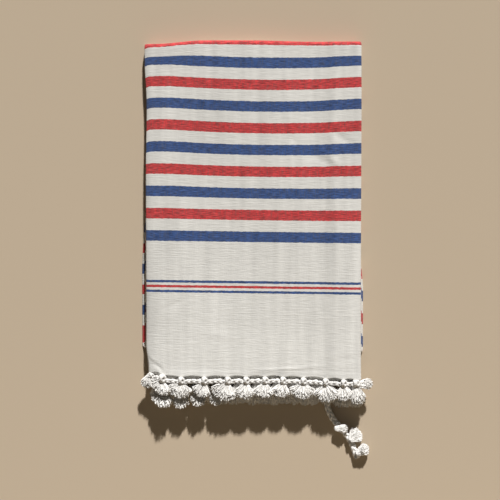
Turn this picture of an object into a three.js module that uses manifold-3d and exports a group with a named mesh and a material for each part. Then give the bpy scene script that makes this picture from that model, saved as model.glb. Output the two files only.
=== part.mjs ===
// Flat-woven beach towel with a tassel trim sewn along each end. It lies folded in three
// across its width and in four along its length. Millimetres, +Z up. The origin is on the
// ground under the middle of the folded towel. Both hems and their trims lie towards -Y.

import * as THREE from "three";
import { mergeVertices } from "three/addons/utils/BufferGeometryUtils.js";
import Module from "manifold-3d";

const wasm = await Module();
wasm.setup();

// The cloth, and the pitch at which its plies and layers lie on each other
const CLOTH_THICKNESS = 1.3;
const PLY_PITCH = 1.8;
const LAYER_PITCH = 5.8;
const GROUND_LAYER_Z = PLY_PITCH + CLOTH_THICKNESS / 2;
const THIRD_LAYER_Z = GROUND_LAYER_Z + LAYER_PITCH;
const SECOND_LAYER_Z = THIRD_LAYER_Z + LAYER_PITCH;
const TOP_LAYER_Z = SECOND_LAYER_Z + LAYER_PITCH;
const STACK_HEIGHT = TOP_LAYER_Z + GROUND_LAYER_Z;

// Across the width: the left panel is folded in under the middle one, the right one under both
const LEFT_FOLD_X = -167.2;
const RIGHT_FOLD_X = 158.2;
const LEFT_PANEL_SELVEDGE_X = 112;
const RIGHT_PANEL_SELVEDGE_X = -158;
const ACROSS_MARKS = [-145, -80, -10, 50, 97, 120, 142];
const LEFT_FOLD_STEPS = 4;
const RIGHT_FOLD_STEPS = 5;

// Along the length: the top layer runs round the long fold to the ground layer, then back
// at the short fold and round the inside of the long fold to the second layer
const UPPER_HEM_Y = -229.5;
const LOWER_HEM_Y = -240;
const LONG_FOLD_Y = 275.5;
const SHORT_FOLD_Y = -191.8;
const ALONG_MARKS = [-205, -110, -20, 75, 170, 230];
const LONG_FOLD_STEPS = 6;
const TIGHT_FOLD_STEPS = 4;

// The lower layers have slipped out sideways, and the top layer narrows towards its hem.
// A span is the place where a change starts and the place where it is complete.
const HALF_WIDTH = 163;
const LEFT_SLIP = 8.5;
const RIGHT_SLIP = 6.5;
const SLIP_SPAN_Y = [60, -70];
const HEM_TAPER = 1.5;
const TAPER_SPAN_Y = [220, -230];

// The long fold falls back at its left corner and a little along its right half
const LONG_FOLD_CORNER_DROP = 7.5;
const LONG_FOLD_CORNER_LENGTH = 24;
const LONG_FOLD_RIGHT_DROP = 1.5;
const LONG_FOLD_RIGHT_SPAN_X = [0, 70];
const LONG_FOLD_SPAN_Y = [60, 265];

// The hem hangs lower at its right end, and its left corner is drawn up and in
const HEM_RIGHT_DROP = 4.5;
const HEM_RIGHT_SPAN_X = [20, RIGHT_FOLD_X];
const HEM_RIGHT_SPAN_Y = [-60, UPPER_HEM_Y];
const HEM_CORNER_RISE = 7;
const HEM_CORNER_RISE_SPAN_X = [-128, LEFT_FOLD_X];
const HEM_CORNER_RISE_SPAN_Y = [-150, UPPER_HEM_Y];
const HEM_CORNER_PULL = 4;
const HEM_CORNER_PULL_SPAN_X = [-110, LEFT_FOLD_X];
const HEM_CORNER_PULL_SPAN_Y = [-185, -228];

// Shares of the height by which the stack is lower: in a trough that runs along it beside the
// selvedge inside, where the hems hang out over the short fold, and in a soft wave
const TROUGH_SHARE = 0.1;
const TROUGH_LEFT_SPAN_X = [50, 96];
const TROUGH_RIGHT_SPAN_X = [120, 98];
const SAG_SHARE = 0.08;
const SAG_SPAN_Y = [-160, -262];
const WAVE_SHARE = 0.025;
const WAVE_LENGTH = 230;
const WAVE_SLANT = 0.45;
const WAVE_SPAN_Y = [-275, -120];

// The rows of tassels start close together at the hems and spread out downwards
const FAN_LENGTH = 36;
const FAN_CURVE = 1.3;
const FAN_TOP_Z = 21.2;
const FAN_BOTTOM_Z = 2.4;

// Each trim: a narrow heading with a row of tassels
const SEWING_GAP = 0.3;
const HEADING_DEPTH = 9;
const TASSEL_PITCH = 31;
const TASSEL_CLEARANCE = 2;
const TASSEL_ROOT_DEPTH = 6;
const TASSEL_ROOT_WIDTH = 7;
const TASSEL_WIDTH = 26;
const TASSEL_THICKNESS = 1.4;
const TASSEL_REACH = 31;
const BUNDLE_SIDES = 6;
const BUNDLE_SPANS = 2;
const BUNDLE_FULL_AT = 0.7;

// Tassels of the uppermost row, from left to right. Knot is the place along the hem, reach is
// how far the yarn ends lie beyond it and lean is the turn towards +X in degrees.
const TOP_ROW = [
  { knot: -162.5, width: 14, reach: 34, lean: -33 },
  { knot: -145.5, width: 21, reach: 29, lean: -6 },
  { knot: -115, width: 30, reach: 32, lean: -3 },
  { knot: -83, width: 22, reach: 30, lean: -6 },
  { knot: -51, width: 32, reach: 36, lean: -4 },
  { knot: -17, width: 25, reach: 34, lean: -2 },
  { knot: 11, width: 24, reach: 33, lean: -3 },
  { knot: 38, width: 22, reach: 31, lean: -4 },
  { knot: 70, width: 32, reach: 32, lean: -2 },
  { knot: 105, width: 28, reach: 35, lean: 2 },
  { knot: 133, width: 20, reach: 32, lean: 4 },
  { knot: 150, width: 12, reach: 38, lean: 12 },
  { knot: 151, width: 13, reach: 34, lean: 97 },
];

// The other rows. Panel is the ply that the row is sewn to, first and last are the places
// of its end tassels.
const HIDDEN_ROWS = [
  { hem: "upper", panel: "left", first: -143, last: 90 },
  { hem: "upper", panel: "right", first: -146, last: 143 },
  { hem: "lower", panel: "right", first: -146, last: 137 },
  { hem: "lower", panel: "left", first: -150, last: 72 },
  { hem: "lower", panel: "middle", first: -154, last: 86 },
  { hem: "lower", panel: "middle", first: 128, last: 150 },
];

// The loose end of the lower trim: a plaited cord that leaves the heading of the left panel
// between two tassels of the row below, and runs out over the ground
const CORD_ROOT = { x: 107, width: 9, reach: 16 };
const CORD_WIDTH = 10;
const CORD_HEIGHT = 5.6;
const CORD_SIDES = 8;
const CORD_STEPS = 16;
const CORD_ROUTE = [
  [107, -261.3, 7.8],
  [106.7, -265, 5.9],
  [106.6, -270.9, 4],
  [107.9, -278, 3.2],
  [110.8, -286, 3.1],
  [115.8, -295.6, 3.1],
  [123.4, -305, 3.1],
  [132.6, -315.4, 3.1],
  [140.2, -325.6, 3.1],
  [145.4, -335.4, 3.1],
  [149.6, -346, 3.1],
  [152.6, -355.6, 3.1],
];

// Tassels that lie over the loose end. X and y are where the knot meets the cord, angle is the
// direction of the yarn in degrees from +X, and level is the height of the tassel's middle line.
const LOOSE_TASSELS = [
  { name: "loose_tassel_first", x: 119, y: -309.5, angle: -3, length: 20, width: 14, level: 9.7 },
  { name: "loose_tassel_second", x: 140.9, y: -327.7, angle: 38, length: 22, width: 18, level: 9.7 },
  { name: "loose_tassel_last", x: 151, y: -348.2, angle: 28, length: 17, width: 17, level: 9.7 },
];
const LOOSE_TASSEL_HEIGHT = 7.8;
const LOOSE_ROOT_WIDTH_SHARE = 0.45;
const LOOSE_ROOT_HEIGHT_SHARE = 0.6;

const CLOTH_FINISH = { color: 0xd8d6d0, roughness: 0.92, metalness: 0 };
const YARN_FINISH = { color: 0xebe8e4, roughness: 0.95, metalness: 0 };

// 0 up to the start of the span, 1 from its end on, and a smooth rise between them
function ramp([start, end], value) {
  const share = THREE.MathUtils.clamp((value - start) / (end - start), 0, 1);
  return share * share * (3 - 2 * share);
}

// Spreads the rows of tassels beyond the lower hem from the ply heights to the whole height
function fan(y, z) {
  const share = Math.min(1, Math.max(0, (LOWER_HEM_Y - y) / FAN_LENGTH) ** FAN_CURVE);
  const highest = TOP_LAYER_Z + PLY_PITCH;
  const lowest = SECOND_LAYER_Z - PLY_PITCH;
  const fanned = THREE.MathUtils.mapLinear(z, lowest, highest, FAN_BOTTOM_Z, FAN_TOP_Z);
  return THREE.MathUtils.lerp(z, fanned, share);
}

// Moves a point of the evenly folded stack to where it lies in the settled one
function settle(x, y, z) {
  const low = THREE.MathUtils.clamp(1 - z / STACK_HEIGHT, 0, 1);
  const slip = (x < 0 ? LEFT_SLIP : RIGHT_SLIP) * low * low * ramp(SLIP_SPAN_Y, y);
  const widened = (slip - HEM_TAPER * ramp(TAPER_SPAN_Y, y)) * (x / HALF_WIDTH);
  const pulled = HEM_CORNER_PULL * ramp(HEM_CORNER_PULL_SPAN_Y, y) * ramp(HEM_CORNER_PULL_SPAN_X, x);

  const cornerDrop = LONG_FOLD_CORNER_DROP * Math.exp((LEFT_FOLD_X - x) / LONG_FOLD_CORNER_LENGTH);
  const foldDrop = cornerDrop + LONG_FOLD_RIGHT_DROP * ramp(LONG_FOLD_RIGHT_SPAN_X, x);
  const hemDrop = HEM_RIGHT_DROP * ramp(HEM_RIGHT_SPAN_X, x) * ramp(HEM_RIGHT_SPAN_Y, y);
  const hemRise = HEM_CORNER_RISE * ramp(HEM_CORNER_RISE_SPAN_X, x) * ramp(HEM_CORNER_RISE_SPAN_Y, y);
  const moved = hemRise - hemDrop - foldDrop * ramp(LONG_FOLD_SPAN_Y, y);

  const trough = TROUGH_SHARE * ramp(TROUGH_LEFT_SPAN_X, x) * ramp(TROUGH_RIGHT_SPAN_X, x);
  const sag = SAG_SHARE * ramp(SAG_SPAN_Y, y);
  const phase = (2 * Math.PI * (x + WAVE_SLANT * y)) / WAVE_LENGTH;
  const wave = WAVE_SHARE * Math.sin(phase) * ramp(WAVE_SPAN_Y, y);
  return [x + widened + pulled, y + moved, fan(y, z) * (1 - trough - sag + wave)];
}

// Stations along a straight run at one level: its ends, and the marks between them
function straightRun(from, to, level, marks) {
  const heading = Math.sign(to - from);
  const between = marks.filter((mark) => (mark - from) * heading > 0 && (to - mark) * heading > 0);
  const places = [from, ...between.sort((a, b) => (a - b) * heading), to];
  return places.map((place) => ({ place, level, outPlace: 0, outLevel: heading }));
}

// Stations inside a half turn between two levels, with the ends left to the straight runs.
// Bulge is 1 where the turn points to larger places and -1 where it points to smaller ones.
function halfTurn(centre, startLevel, endLevel, bulge, steps) {
  const radius = Math.abs(endLevel - startLevel) / 2;
  const start = startLevel > endLevel ? Math.PI / 2 : -Math.PI / 2;
  const clockwise = bulge * (startLevel - endLevel) > 0;
  const middle = (startLevel + endLevel) / 2;
  const arc = new THREE.EllipseCurve(centre, middle, radius, radius, start, start + Math.PI, clockwise);
  const stations = [];
  for (let step = 1; step < steps; step += 1) {
    const point = arc.getPoint(step / steps);
    const tangent = arc.getTangent(step / steps);
    stations.push({ place: point.x, level: point.y, outPlace: -tangent.y, outLevel: tangent.x });
  }
  return stations;
}

// Section across the width: left panel, left fold, middle panel, right fold, right panel
function sectionAcross() {
  const leftCentre = LEFT_FOLD_X + (PLY_PITCH + CLOTH_THICKNESS) / 2;
  const rightCentre = RIGHT_FOLD_X - PLY_PITCH - CLOTH_THICKNESS / 2;
  return [
    ...straightRun(LEFT_PANEL_SELVEDGE_X, leftCentre, 0, ACROSS_MARKS),
    ...halfTurn(leftCentre, 0, PLY_PITCH, -1, LEFT_FOLD_STEPS),
    ...straightRun(leftCentre, rightCentre, PLY_PITCH, ACROSS_MARKS),
    ...halfTurn(rightCentre, PLY_PITCH, -PLY_PITCH, 1, RIGHT_FOLD_STEPS),
    ...straightRun(rightCentre, RIGHT_PANEL_SELVEDGE_X, -PLY_PITCH, ACROSS_MARKS),
  ];
}

// Section along the length, from the upper hem to the lower one
function sectionAlong() {
  const longRadius = (TOP_LAYER_Z - GROUND_LAYER_Z) / 2;
  const longCentre = LONG_FOLD_Y - longRadius - GROUND_LAYER_Z;
  const shortCentre = SHORT_FOLD_Y + LAYER_PITCH / 2 + GROUND_LAYER_Z;
  return [
    ...straightRun(UPPER_HEM_Y, longCentre, TOP_LAYER_Z, ALONG_MARKS),
    ...halfTurn(longCentre, TOP_LAYER_Z, GROUND_LAYER_Z, 1, LONG_FOLD_STEPS),
    ...straightRun(longCentre, shortCentre, GROUND_LAYER_Z, ALONG_MARKS),
    ...halfTurn(shortCentre, GROUND_LAYER_Z, THIRD_LAYER_Z, -1, TIGHT_FOLD_STEPS),
    ...straightRun(shortCentre, longCentre, THIRD_LAYER_Z, ALONG_MARKS),
    ...halfTurn(longCentre, THIRD_LAYER_Z, SECOND_LAYER_Z, 1, TIGHT_FOLD_STEPS),
    ...straightRun(longCentre, LOWER_HEM_Y, SECOND_LAYER_Z, ALONG_MARKS),
  ];
}

// Closed sheet of the cloth's thickness that follows one section along the other
function foldedSheet(across, along) {
  const positions = [];
  for (const row of along) {
    for (const point of across) {
      for (const side of [CLOTH_THICKNESS / 2, -CLOTH_THICKNESS / 2]) {
        const x = point.place + point.outPlace * side;
        const offset = point.level + point.outLevel * side;
        const y = row.place + row.outPlace * offset;
        const z = row.level + row.outLevel * offset;
        positions.push(...settle(x, y, z));
      }
    }
  }
  const outer = (i, j) => (j * across.length + i) * 2;
  const inner = (i, j) => outer(i, j) + 1;
  const lastAcross = across.length - 1;
  const lastAlong = along.length - 1;
  const index = [];
  const quad = (a, b, c, d) => index.push(a, b, c, a, c, d);
  for (let j = 0; j < lastAlong; j += 1) {
    for (let i = 0; i < lastAcross; i += 1) {
      quad(outer(i, j), outer(i + 1, j), outer(i + 1, j + 1), outer(i, j + 1));
      quad(inner(i, j), inner(i, j + 1), inner(i + 1, j + 1), inner(i + 1, j));
    }
    quad(outer(0, j), outer(0, j + 1), inner(0, j + 1), inner(0, j));
    quad(outer(lastAcross, j + 1), outer(lastAcross, j), inner(lastAcross, j), inner(lastAcross, j + 1));
  }
  for (let i = 0; i < lastAcross; i += 1) {
    quad(outer(i + 1, 0), outer(i, 0), inner(i, 0), inner(i + 1, 0));
    quad(outer(i, lastAlong), outer(i + 1, lastAlong), inner(i + 1, lastAlong), inner(i, lastAlong));
  }
  const geometry = new THREE.BufferGeometry();
  geometry.setAttribute("position", new THREE.Float32BufferAttribute(positions, 3));
  geometry.setIndex(index);
  return geometry;
}

// Flat bundle of yarn that runs along +X from the origin, narrow at its root
function bundle(length, rootWidth, width, rootHeight, height) {
  const geometry = new THREE.CylinderGeometry(1, 1, 1, BUNDLE_SIDES, BUNDLE_SPANS);
  geometry.rotateZ(-Math.PI / 2);
  geometry.rotateX(Math.PI / 2);
  const position = geometry.getAttribute("position");
  for (let vertex = 0; vertex < position.count; vertex += 1) {
    const share = position.getX(vertex) + 0.5;
    const full = Math.sin((Math.PI / 2) * Math.min(1, share / BUNDLE_FULL_AT));
    const halfWidth = THREE.MathUtils.lerp(rootWidth, width, full) / 2;
    const halfHeight = THREE.MathUtils.lerp(rootHeight, height, full) / 2;
    const y = position.getY(vertex) * halfWidth;
    const z = position.getZ(vertex) * halfHeight;
    position.setXYZ(vertex, share * length, y, z);
  }
  return geometry;
}

// A tassel of a trim, made in the evenly folded stack and moved to its settled place
function trimTassel(x, hemY, z, width, reach, lean) {
  const length = reach - TASSEL_ROOT_DEPTH;
  const rootWidth = Math.min(width, TASSEL_ROOT_WIDTH);
  const geometry = bundle(length, rootWidth, width, TASSEL_THICKNESS, TASSEL_THICKNESS);
  geometry.rotateZ(THREE.MathUtils.degToRad(lean - 90));
  geometry.translate(x, hemY - TASSEL_ROOT_DEPTH, z);
  const position = geometry.getAttribute("position");
  for (let vertex = 0; vertex < position.count; vertex += 1) {
    const place = settle(position.getX(vertex), position.getY(vertex), position.getZ(vertex));
    position.setXYZ(vertex, ...place);
  }
  return geometry;
}

// Manifold solid of a closed geometry, and the geometry of a manifold solid
function solidOf(geometry) {
  const bare = geometry.clone();
  bare.deleteAttribute("normal");
  bare.deleteAttribute("uv");
  const merged = mergeVertices(bare, 1e-4);
  return new wasm.Manifold(new wasm.Mesh({
    numProp: 3,
    vertProperties: new Float32Array(merged.getAttribute("position").array),
    triVerts: new Uint32Array(merged.getIndex().array),
  }));
}

function geometryOf(solid) {
  const mesh = solid.getMesh();
  const geometry = new THREE.BufferGeometry();
  geometry.setAttribute("position", new THREE.BufferAttribute(mesh.vertProperties, 3));
  geometry.setIndex(new THREE.BufferAttribute(mesh.triVerts, 1));
  return geometry;
}

// One trim: its heading follows the plies of its hem, and all its tassels are joined to it
function trim(hem) {
  const upper = hem === "upper";
  const hemY = upper ? UPPER_HEM_Y : LOWER_HEM_Y;
  const level = upper ? TOP_LAYER_Z : SECOND_LAYER_Z;
  const faceUp = upper ? 1 : -1;
  const plyOffset = { left: 0, middle: PLY_PITCH * faceUp, right: -PLY_PITCH * faceUp };
  const near = hemY - SEWING_GAP;
  const far = near - HEADING_DEPTH;
  const along = upper ? straightRun(far, near, level, []) : straightRun(near, far, level, []);
  const pieces = [solidOf(foldedSheet(sectionAcross(), along))];
  const addTassel = (x, panel, width, reach, lean) => {
    const tassel = trimTassel(x, hemY, level + plyOffset[panel], width, reach, lean);
    pieces.push(solidOf(tassel));
  };
  for (const row of HIDDEN_ROWS.filter((entry) => entry.hem === hem)) {
    const gaps = Math.round((row.last - row.first) / TASSEL_PITCH);
    const pitch = (row.last - row.first) / gaps;
    const width = Math.min(TASSEL_WIDTH, pitch - TASSEL_CLEARANCE);
    for (let step = 0; step <= gaps; step += 1) {
      addTassel(row.first + step * pitch, row.panel, width, TASSEL_REACH, 0);
    }
  }
  if (upper) {
    for (const tassel of TOP_ROW) {
      addTassel(tassel.knot, "middle", tassel.width, tassel.reach, tassel.lean);
    }
  } else {
    addTassel(CORD_ROOT.x, "left", CORD_ROOT.width, CORD_ROOT.reach, 0);
  }
  return geometryOf(wasm.Manifold.union(pieces));
}

function looseCord() {
  const route = new THREE.CatmullRomCurve3(CORD_ROUTE.map((point) => new THREE.Vector3(...point)));
  const corners = [];
  for (let side = 0; side < CORD_SIDES; side += 1) {
    const angle = (2 * Math.PI * side) / CORD_SIDES;
    const across = (Math.cos(angle) * CORD_WIDTH) / 2;
    const up = (Math.sin(angle) * CORD_HEIGHT) / 2;
    corners.push(new THREE.Vector2(across, up));
  }
  return new THREE.ExtrudeGeometry(new THREE.Shape(corners), { steps: CORD_STEPS, extrudePath: route });
}

function looseTassel({ x, y, angle, length, width, level }) {
  const rootWidth = width * LOOSE_ROOT_WIDTH_SHARE;
  const rootHeight = LOOSE_TASSEL_HEIGHT * LOOSE_ROOT_HEIGHT_SHARE;
  const geometry = bundle(length, rootWidth, width, rootHeight, LOOSE_TASSEL_HEIGHT);
  geometry.rotateZ(THREE.MathUtils.degToRad(angle));
  geometry.translate(x, y, level);
  return geometry;
}

function node(name, geometry, finish) {
  geometry.computeVertexNormals();
  const mesh = new THREE.Mesh(geometry, new THREE.MeshStandardMaterial(finish));
  mesh.name = name;
  return mesh;
}

const towel = new THREE.Group();
towel.add(node("towel_cloth", foldedSheet(sectionAcross(), sectionAlong()), CLOTH_FINISH));
towel.add(node("upper_trim", trim("upper"), YARN_FINISH));
towel.add(node("lower_trim", trim("lower"), YARN_FINISH));
towel.add(node("loose_cord", looseCord(), YARN_FINISH));
for (const tassel of LOOSE_TASSELS) {
  towel.add(node(tassel.name, looseTassel(tassel), YARN_FINISH));
}

export default towel;
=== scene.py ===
import math

import bpy
import numpy as np
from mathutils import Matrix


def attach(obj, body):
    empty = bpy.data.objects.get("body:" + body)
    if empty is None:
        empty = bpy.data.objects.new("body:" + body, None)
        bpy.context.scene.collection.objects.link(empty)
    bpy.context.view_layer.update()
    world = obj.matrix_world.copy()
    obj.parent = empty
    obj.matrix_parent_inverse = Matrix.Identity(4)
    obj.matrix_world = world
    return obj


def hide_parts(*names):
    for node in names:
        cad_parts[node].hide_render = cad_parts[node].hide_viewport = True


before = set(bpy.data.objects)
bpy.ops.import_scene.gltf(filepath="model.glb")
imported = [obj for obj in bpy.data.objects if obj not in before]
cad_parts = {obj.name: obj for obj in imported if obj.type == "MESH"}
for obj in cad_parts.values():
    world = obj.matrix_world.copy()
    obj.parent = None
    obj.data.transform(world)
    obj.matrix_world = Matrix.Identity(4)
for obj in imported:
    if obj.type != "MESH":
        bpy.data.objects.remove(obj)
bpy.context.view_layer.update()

scene = bpy.context.scene

# Camera
# The towel is seen from straight above, with its long fold at the top of the picture. The lens
# takes in 750 mm of the folded towel's upper face.
camera_data = bpy.data.cameras.new("camera")
camera_data.lens = 67.2
camera_data.sensor_width = 36
camera = bpy.data.objects.new("camera", camera_data)
camera.location = (-0.00975, -0.03975, 1.4224)
scene.collection.objects.link(camera)
scene.camera = camera
scene.view_settings.view_transform = "Standard"


# Loose end of the lower trim
# A three-strand plait of white cotton yarn, a little over 100 mm of it, that has come away from
# the hem. It leaves the heading between two tassels and runs out over the ground.
CORD_ROUTE = [
    (0.1070, -0.2613, 0.0082),
    (0.1067, -0.2650, 0.0080),
    (0.1066, -0.2709, 0.0074),
    (0.1079, -0.2780, 0.0068),
    (0.1108, -0.2860, 0.0062),
    (0.1158, -0.2956, 0.0054),
    (0.1234, -0.3050, 0.0044),
    (0.1326, -0.3154, 0.0040),
    (0.1402, -0.3256, 0.0038),
    (0.1454, -0.3354, 0.0038),
    (0.1496, -0.3460, 0.0038),
    (0.1526, -0.3556, 0.0038),
]
CORD_WIDTH = 0.010
CORD_STRAND = 0.0049
CORD_RISE = 0.0010
CORD_TURN = 0.025
CORD_STEP = 0.0008
YARN_TWIST = 0.0095
YARN_WHITE = "#F7F5F2"


def linear(hex_colour):
    """Linear colour of an sRGB hex value."""
    shares = [int(hex_colour[start:start + 2], 16) / 255 for start in (1, 3, 5)]
    return [*(s / 12.92 if s <= 0.04045 else ((s + 0.055) / 1.055) ** 2.4 for s in shares), 1.0]


def add_node(tree, kind, settings=None, links=None):
    """Adds a node. A setting is a property of the node or the value of a socket, by name or number."""
    node = tree.nodes.new(kind)
    for key, value in (settings or {}).items():
        if isinstance(key, int) or key in node.inputs:
            node.inputs[key].default_value = value
        else:
            setattr(node, key, value)
    for key, source in (links or {}).items():
        tree.links.new(source, node.inputs[key])
    return node


# Soft-spun cotton yarn, bleached and unsized: it scatters light almost evenly, with a soft
# sheen from loose fibres. Single fibres are too fine to show, so they are drawn as bundles, seven
# across a yarn and 4 mm long.
cotton_yarn = bpy.data.materials.new("soft-spun cotton yarn")
cotton_yarn.use_nodes = True
nodes = cotton_yarn.node_tree
surface = nodes.nodes["Principled BSDF"]
surface.inputs["Roughness"].default_value = 0.95
surface.inputs["Specular IOR Level"].default_value = 0.15
surface.inputs["Sheen Weight"].default_value = 0.4
surface.inputs["Sheen Roughness"].default_value = 0.7
YARN_FIBRES_ACROSS = 7.0
YARN_FIBRE_LENGTH = 0.004
# The shade attribute is each strand's tone: at random for most strands, and a painted shade for the heading
# and its knots.
across = add_node(nodes, "ShaderNodeAttribute", {"attribute_name": "across"})
along = add_node(nodes, "ShaderNodeAttribute", {"attribute_name": "along"})
shade = add_node(nodes, "ShaderNodeAttribute", {"attribute_name": "shade"})
wide = add_node(nodes, "ShaderNodeVectorMath", {"operation": "SCALE", "Scale": YARN_FIBRES_ACROSS},
                {0: across.outputs["Vector"]})
long = add_node(nodes, "ShaderNodeMath", {"operation": "DIVIDE", 1: YARN_FIBRE_LENGTH},
                {0: along.outputs["Fac"]})
lifted = add_node(nodes, "ShaderNodeCombineXYZ", {}, {"Z": long.outputs[0]})
place = add_node(nodes, "ShaderNodeVectorMath", {"operation": "ADD"},
                 {0: wide.outputs[0], 1: lifted.outputs[0]})
fibres = add_node(nodes, "ShaderNodeTexNoise", {"Scale": 1.0, "Detail": 3.0, "Roughness": 0.65},
                  {"Vector": place.outputs[0]})
fibre_shade = add_node(nodes, "ShaderNodeMapRange", {"To Min": 0.9, "To Max": 1.06},
                       {"Value": fibres.outputs["Fac"]})
both = add_node(nodes, "ShaderNodeMath", {"operation": "MULTIPLY"},
                {0: fibre_shade.outputs[0], 1: shade.outputs["Fac"]})
tinted = add_node(nodes, "ShaderNodeVectorMath", {"operation": "SCALE", 0: linear(YARN_WHITE)[:3]},
                  {"Scale": both.outputs[0]})
bump = add_node(nodes, "ShaderNodeBump", {"Strength": 0.25, "Distance": 0.0003},
                {"Height": fibres.outputs["Fac"]})
nodes.links.new(tinted.outputs[0], surface.inputs["Base Color"])
nodes.links.new(bump.outputs[0], surface.inputs["Normal"])

# Sweeps a yarn along each line of a mesh: round, or grooved between three plies
yarn_tree = bpy.data.node_groups.new("yarn along lines", "GeometryNodeTree")
for label, direction, kind in (
    ("Lines", "INPUT", "NodeSocketGeometry"),
    ("Sides", "INPUT", "NodeSocketInt"),
    ("Ply groove", "INPUT", "NodeSocketFloat"),
    ("Yarn", "INPUT", "NodeSocketMaterial"),
    ("Geometry", "OUTPUT", "NodeSocketGeometry"),
):
    yarn_tree.interface.new_socket(label, in_out=direction, socket_type=kind)
given = add_node(yarn_tree, "NodeGroupInput")
thickness = add_node(yarn_tree, "GeometryNodeInputNamedAttribute",
                     {"data_type": "FLOAT", "Name": "thickness"})
twist = add_node(yarn_tree, "GeometryNodeInputNamedAttribute", {"data_type": "FLOAT", "Name": "twist"})
curve = add_node(yarn_tree, "GeometryNodeMeshToCurve", {}, {"Mesh": given.outputs["Lines"]})
tilted = add_node(yarn_tree, "GeometryNodeSetCurveTilt", {},
                  {"Curve": curve.outputs[0], "Tilt": twist.outputs[0]})
length = add_node(yarn_tree, "GeometryNodeSplineParameter")
measured = add_node(yarn_tree, "GeometryNodeStoreNamedAttribute",
                    {"data_type": "FLOAT", "domain": "POINT", "Name": "along"},
                    {"Geometry": tilted.outputs[0], "Value": length.outputs["Length"]})
circle = add_node(yarn_tree, "GeometryNodeCurvePrimitiveCircle", {"mode": "RADIUS", "Radius": 0.5},
                  {"Resolution": given.outputs["Sides"]})
position = add_node(yarn_tree, "GeometryNodeInputPosition")
marked = add_node(yarn_tree, "GeometryNodeStoreNamedAttribute",
                  {"data_type": "FLOAT_VECTOR", "domain": "POINT", "Name": "across"},
                  {"Geometry": circle.outputs["Curve"], "Value": position.outputs[0]})
parts = add_node(yarn_tree, "ShaderNodeSeparateXYZ", {}, {0: position.outputs[0]})
angle = add_node(yarn_tree, "ShaderNodeMath", {"operation": "ARCTAN2"},
                 {0: parts.outputs["Y"], 1: parts.outputs["X"]})
plies = add_node(yarn_tree, "ShaderNodeMath", {"operation": "MULTIPLY", 1: 3.0}, {0: angle.outputs[0]})
lobes = add_node(yarn_tree, "ShaderNodeMath", {"operation": "COSINE"}, {0: plies.outputs[0]})
swell = add_node(yarn_tree, "ShaderNodeMath", {"operation": "MULTIPLY_ADD", 2: 1.0},
                 {0: lobes.outputs[0], 1: given.outputs["Ply groove"]})
grooved = add_node(yarn_tree, "ShaderNodeVectorMath", {"operation": "SCALE"},
                   {0: position.outputs[0], "Scale": swell.outputs[0]})
profile = add_node(yarn_tree, "GeometryNodeSetPosition", {},
                   {"Geometry": marked.outputs[0], "Position": grooved.outputs[0]})
swept = add_node(yarn_tree, "GeometryNodeCurveToMesh", {"Fill Caps": True},
                 {"Curve": measured.outputs[0], "Profile Curve": profile.outputs[0],
                  "Scale": thickness.outputs[0]})
smooth = add_node(yarn_tree, "GeometryNodeSetShadeSmooth", {}, {"Geometry": swept.outputs[0]})
realized = add_node(yarn_tree, "GeometryNodeRealizeInstances", {}, {"Geometry": smooth.outputs[0]})
finished = add_node(yarn_tree, "GeometryNodeSetMaterial", {},
                    {"Geometry": realized.outputs[0], "Material": given.outputs["Yarn"]})
add_node(yarn_tree, "NodeGroupOutput", {}, {"Geometry": finished.outputs[0]})


def strand(points, thickness, twist_length=None, shade=1.0, closed=False):
    """A yarn's line, with its thickness, its twist and its shade at each point."""
    points = np.asarray(points, float)
    steps = np.linalg.norm(np.diff(points, axis=0), axis=1)
    run = np.concatenate([[0.0], np.cumsum(steps)])
    twist = run * (2 * math.pi / twist_length if twist_length else 0.0)
    return {
        "points": points,
        "thickness": np.broadcast_to(thickness, len(points)),
        "twist": twist,
        "shade": np.full(len(points), shade),
        "closed": closed,
    }


def spun(name, strands, sides=5, groove=0.0, material=cotton_yarn):
    """Finished mesh object of the yarns that follow the strands."""
    edges = []
    start = 0
    for item in strands:
        count = len(item["points"])
        run = np.arange(start, start + count)
        edges.append(np.stack([run[:-1], run[1:]], axis=1))
        if item["closed"]:
            edges.append(np.array([[run[-1], run[0]]]))
        start += count
    mesh = bpy.data.meshes.new(name + "_lines")
    mesh.from_pydata(np.concatenate([item["points"] for item in strands]), np.concatenate(edges), [])
    for label in ("thickness", "twist", "shade"):
        values = np.concatenate([item[label] for item in strands]).astype(np.float32)
        mesh.attributes.new(label, "FLOAT", "POINT").data.foreach_set("value", values)
    lines = bpy.data.objects.new(name + "_lines", mesh)
    scene.collection.objects.link(lines)
    modifier = lines.modifiers.new("yarn", "NODES")
    modifier.node_group = yarn_tree
    for label, value in (("Sides", sides), ("Ply groove", groove), ("Yarn", material)):
        modifier[yarn_tree.interface.items_tree[label].identifier] = value
    depsgraph = bpy.context.evaluated_depsgraph_get()
    made = bpy.data.meshes.new_from_object(
        lines.evaluated_get(depsgraph), preserve_all_data_layers=True, depsgraph=depsgraph)
    made.name = name
    bpy.data.objects.remove(lines)
    piece = bpy.data.objects.new(name, made)
    scene.collection.objects.link(piece)
    return piece


def unit(vectors):
    """The vectors at length 1."""
    return vectors / np.linalg.norm(vectors, axis=-1, keepdims=True)


def even_route(points, step):
    """Smooth route through the points, with its own points a step apart."""
    points = np.asarray(points, float)
    before, after = 2 * points[0] - points[1], 2 * points[-1] - points[-2]
    held = np.concatenate([[before], points, [after]])
    share = np.linspace(0, 1, 40, endpoint=False)[:, None]
    spans = []
    for a, b, c, d in zip(held, held[1:], held[2:], held[3:]):
        cubic = (3 * b - a - 3 * c + d) * share ** 3 + (2 * a - 5 * b + 4 * c - d) * share ** 2
        spans.append((cubic + (c - a) * share + 2 * b) / 2)
    fine = np.concatenate([*spans, [points[-1]]])
    run = np.concatenate([[0.0], np.cumsum(np.linalg.norm(np.diff(fine, axis=0), axis=1))])
    at = np.linspace(0, run[-1], max(2, round(run[-1] / step) + 1))
    return np.stack([np.interp(at, run, fine[:, axis]) for axis in range(3)], axis=1)


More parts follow.
